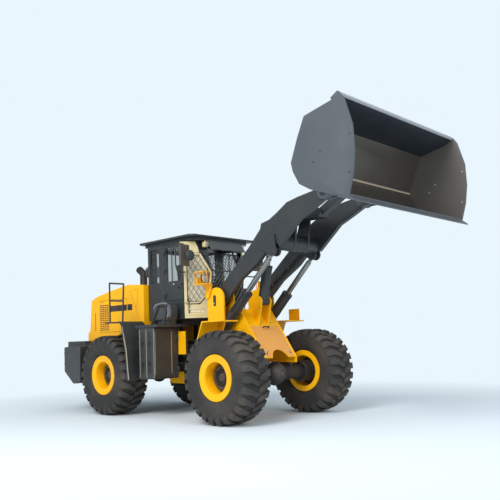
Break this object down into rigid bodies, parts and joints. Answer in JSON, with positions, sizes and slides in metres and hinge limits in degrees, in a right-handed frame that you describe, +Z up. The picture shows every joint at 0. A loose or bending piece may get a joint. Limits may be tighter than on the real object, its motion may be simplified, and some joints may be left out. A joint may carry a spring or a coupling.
{
  "type": "wheel loader",
  "caption": "Articulated wheel loader with a raised lifting arm, Z-bar linkage, wide bucket, enclosed cab, rear engine hood and heavy counterweight.",
  "frame": {"origin": "on the floor at the centre of the machine's overall footprint, bucket included", "axes": "+X forward, +Y to the driver's left, +Z up"},
  "size_m": [8.2642, 3.176, 4.6402],
  "materials": {
    "yellow_paint": "semi-gloss yellow enamel",
    "dark_grey_paint": "satin dark grey enamel",
    "bucket_paint": "dark grey enamel, worn inside the bucket",
    "bare_casting": "dark painted casting",
    "chrome": "hard chrome rods",
    "tyre": "dusty black rubber",
    "black_plastic": "grained black plastic",
    "glass": "clear safety glass"
  },
  "bodies": {
    "root": {"rear_frame": "dark_grey_paint", "engine_block": "bare_casting", "transmission": "bare_casting", "counterweight": "dark_grey_paint", "hood": "yellow_paint", "exhaust_stack": "bare_casting", "air_precleaner": "black_plastic", "rear_fender_right": "dark_grey_paint", "rear_fender_left": "dark_grey_paint", "side_box_right": "dark_grey_paint", "fuel_tank_ladder": "dark_grey_paint", "cab_body": "dark_grey_paint", "cab_roof": "dark_grey_paint", "windscreen": "glass", "rear_glass": "glass", "seat": "black_plastic", "steering_column": "black_plastic", "mirror_right": "black_plastic", "mirror_left": "black_plastic", "rear_axle": "dark_grey_paint", "drive_shaft_rear": "bare_casting"},
    "front": {"front_frame": "yellow_paint", "front_axle": "dark_grey_paint", "front_fender_right": "yellow_paint", "front_fender_left": "yellow_paint", "work_lamp_right": "yellow_paint", "work_lamp_left": "yellow_paint", "drive_shaft_front": "bare_casting"},
    "boom": {"boom": "dark_grey_paint"},
    "bucket": {"bucket": "bucket_paint"},
    "bellcrank": {"bellcrank": "dark_grey_paint"},
    "bucket_link": {"bucket_link": "dark_grey_paint"},
    "tilt_barrel": {"tilt_cylinder_barrel": "dark_grey_paint"},
    "tilt_rod": {"tilt_cylinder_rod": "chrome"},
    "cab_door_right_leaf": {"cab_door_right": "dark_grey_paint", "door_glass_right": "glass"},
    "cab_door_left_leaf": {"cab_door_left": "dark_grey_paint", "door_glass_left": "glass"},
    "hood_door_right_leaf": {"hood_door_right": "yellow_paint"},
    "hood_door_left_leaf": {"hood_door_left": "yellow_paint"},
    "grille_door": {"radiator_grille": "black_plastic"},
    "side_box_leaf": {"side_box_door": "dark_grey_paint"},
    "lift_barrel_right": {"lift_cylinder_right_barrel": "dark_grey_paint"},
    "lift_rod_right": {"lift_cylinder_right_rod": "chrome"},
    "steer_barrel_right": {"steering_cylinder_right_barrel": "dark_grey_paint"},
    "steer_rod_right": {"steering_cylinder_right_rod": "chrome"},
    "wheel_front_right": {"tyre_front_right": "tyre", "wheel_rim_front_right": "yellow_paint"},
    "wheel_rear_right": {"tyre_rear_right": "tyre", "wheel_rim_rear_right": "yellow_paint"},
    "lift_barrel_left": {"lift_cylinder_left_barrel": "dark_grey_paint"},
    "lift_rod_left": {"lift_cylinder_left_rod": "chrome"},
    "steer_barrel_left": {"steering_cylinder_left_barrel": "dark_grey_paint"},
    "steer_rod_left": {"steering_cylinder_left_rod": "chrome"},
    "wheel_front_left": {"tyre_front_left": "tyre", "wheel_rim_front_left": "yellow_paint"},
    "wheel_rear_left": {"tyre_rear_left": "tyre", "wheel_rim_rear_left": "yellow_paint"}
  },
  "joints": [
    {"name": "steer", "type": "hinge", "parent": "root", "child": "front", "pos_m": [-0.48209, 0, 0.77], "axis": [0, 0, 1], "range_deg": [-38, 38]},
    {"name": "boom_lift", "type": "hinge", "parent": "front", "child": "boom", "pos_m": [0.43791, 0, 2.12], "axis": [0, -1, 0], "range_deg": [-69, 13]},
    {"name": "bucket_tilt", "type": "hinge", "parent": "boom", "child": "bucket", "pos_m": [2.84789, 0, 3.59973], "axis": [0, 1, 0], "range_deg": [-105, 38.7]},
    {"name": "bellcrank_swing", "type": "hinge", "parent": "boom", "child": "bellcrank", "pos_m": [1.87786, 0, 3.48055], "axis": [0, 1, 0], "range_deg": [-12, 32]},
    {"name": "link_swing", "type": "hinge", "parent": "bellcrank", "child": "bucket_link", "pos_m": [2.34786, 0, 3.42055], "axis": [0, 1, 0], "range_deg": [-53, 19.6]},
    {"name": "tilt_barrel_swing", "type": "hinge", "parent": "front", "child": "tilt_barrel", "pos_m": [0.95791, 0, 2.05], "axis": [0, -1, 0], "range_deg": [-92.5, 17.8]},
    {"name": "tilt_rod_slide", "type": "slide", "parent": "tilt_barrel", "child": "tilt_rod", "axis": [0.2116, 0, 0.9774], "range_m": [-0.415, 0.08]},
    {"name": "lift_barrel_swing_right", "type": "hinge", "parent": "front", "child": "lift_barrel_right", "pos_m": [0.31791, -0.52, 1.42], "axis": [0, -1, 0], "range_deg": [-55.5, 10.5]},
    {"name": "lift_rod_slide_right", "type": "slide", "parent": "lift_barrel_right", "child": "lift_rod_right", "axis": [0.7092, 0, 0.705], "range_m": [-0.715, 0.14]},
    {"name": "lift_barrel_swing_left", "type": "hinge", "parent": "front", "child": "lift_barrel_left", "pos_m": [0.31791, 0.52, 1.42], "axis": [0, -1, 0], "range_deg": [-55.5, 10.5]},
    {"name": "lift_rod_slide_left", "type": "slide", "parent": "lift_barrel_left", "child": "lift_rod_left", "axis": [0.7092, 0, 0.705], "range_m": [-0.715, 0.14]},
    {"name": "steer_barrel_swing_right", "type": "hinge", "parent": "root", "child": "steer_barrel_right", "pos_m": [-1.48209, -0.47, 1], "axis": [0, 0, 1], "range_deg": [-10.5, 10.5]},
    {"name": "steer_rod_slide_right", "type": "slide", "parent": "steer_barrel_right", "child": "steer_rod_right", "axis": [1, -0.0071, 0], "range_m": [-0.31, 0.31]},
    {"name": "steer_barrel_swing_left", "type": "hinge", "parent": "root", "child": "steer_barrel_left", "pos_m": [-1.48209, 0.47, 1], "axis": [0, 0, 1], "range_deg": [-10.5, 10.5]},
    {"name": "steer_rod_slide_left", "type": "slide", "parent": "steer_barrel_left", "child": "steer_rod_left", "axis": [1, 0.0071, 0], "range_m": [-0.31, 0.31]},
    {"name": "wheel_front_right_spin", "type": "hinge", "parent": "front", "child": "wheel_front_right", "pos_m": [1.11791, -1.11, 0.77], "axis": [0, 1, 0], "continuous": true},
    {"name": "wheel_front_left_spin", "type": "hinge", "parent": "front", "child": "wheel_front_left", "pos_m": [1.11791, 1.11, 0.77], "axis": [0, 1, 0], "continuous": true},
    {"name": "wheel_rear_right_spin", "type": "hinge", "parent": "root", "child": "wheel_rear_right", "pos_m": [-2.08209, -1.11, 0.77], "axis": [0, 1, 0], "continuous": true},
    {"name": "wheel_rear_left_spin", "type": "hinge", "parent": "root", "child": "wheel_rear_left", "pos_m": [-2.08209, 1.11, 0.77], "axis": [0, 1, 0], "continuous": true},
    {"name": "cab_door_right_hinge", "type": "hinge", "parent": "root", "child": "cab_door_right_leaf", "pos_m": [-0.87109, -0.765, 2.57], "axis": [0, 0, -1], "range_deg": [0, 100]},
    {"name": "cab_door_left_hinge", "type": "hinge", "parent": "root", "child": "cab_door_left_leaf", "pos_m": [-0.87109, 0.765, 2.57], "axis": [0, 0, 1], "range_deg": [0, 100]},
    {"name": "hood_door_right_hinge", "type": "hinge", "parent": "root", "child": "hood_door_right_leaf", "pos_m": [-2.48209, -0.865, 2.278], "axis": [-1, 0, 0], "range_deg": [0, 70]},
    {"name": "hood_door_left_hinge", "type": "hinge", "parent": "root", "child": "hood_door_left_leaf", "pos_m": [-2.48209, 0.865, 2.278], "axis": [1, 0, 0], "range_deg": [0, 70]},
    {"name": "grille_hinge", "type": "hinge", "parent": "root", "child": "grille_door", "pos_m": [-3.32709, -0.619, 1.97], "axis": [0, 0, 1], "range_deg": [0, 110]},
    {"name": "side_box_hinge", "type": "hinge", "parent": "root", "child": "side_box_leaf", "pos_m": [-0.57709, -0.704, 1.17], "axis": [0, 0, 1], "range_deg": [0, 90]}
  ],
  "couplings": [
    {"joint": "bellcrank_swing", "follows": "bucket_tilt", "ratio": -0.3},
    {"joint": "link_swing", "follows": "bucket_tilt", "ratio": 0.5},
    {"joint": "tilt_barrel_swing", "follows": "boom_lift", "ratio": 1.33},
    {"joint": "tilt_rod_slide", "follows": "boom_lift", "m_per_rad": 0.34},
    {"joint": "lift_barrel_swing_right", "follows": "boom_lift", "ratio": 0.79},
    {"joint": "lift_rod_slide_right", "follows": "boom_lift", "m_per_rad": 0.585},
    {"joint": "lift_barrel_swing_left", "follows": "boom_lift", "ratio": 0.79},
    {"joint": "lift_rod_slide_left", "follows": "boom_lift", "m_per_rad": 0.585},
    {"joint": "steer_barrel_swing_right", "follows": "steer", "ratio": 0.27},
    {"joint": "steer_rod_slide_right", "follows": "steer", "m_per_rad": 0.464},
    {"joint": "steer_barrel_swing_left", "follows": "steer", "ratio": 0.27},
    {"joint": "steer_rod_slide_left", "follows": "steer", "m_per_rad": -0.464}
  ]
}
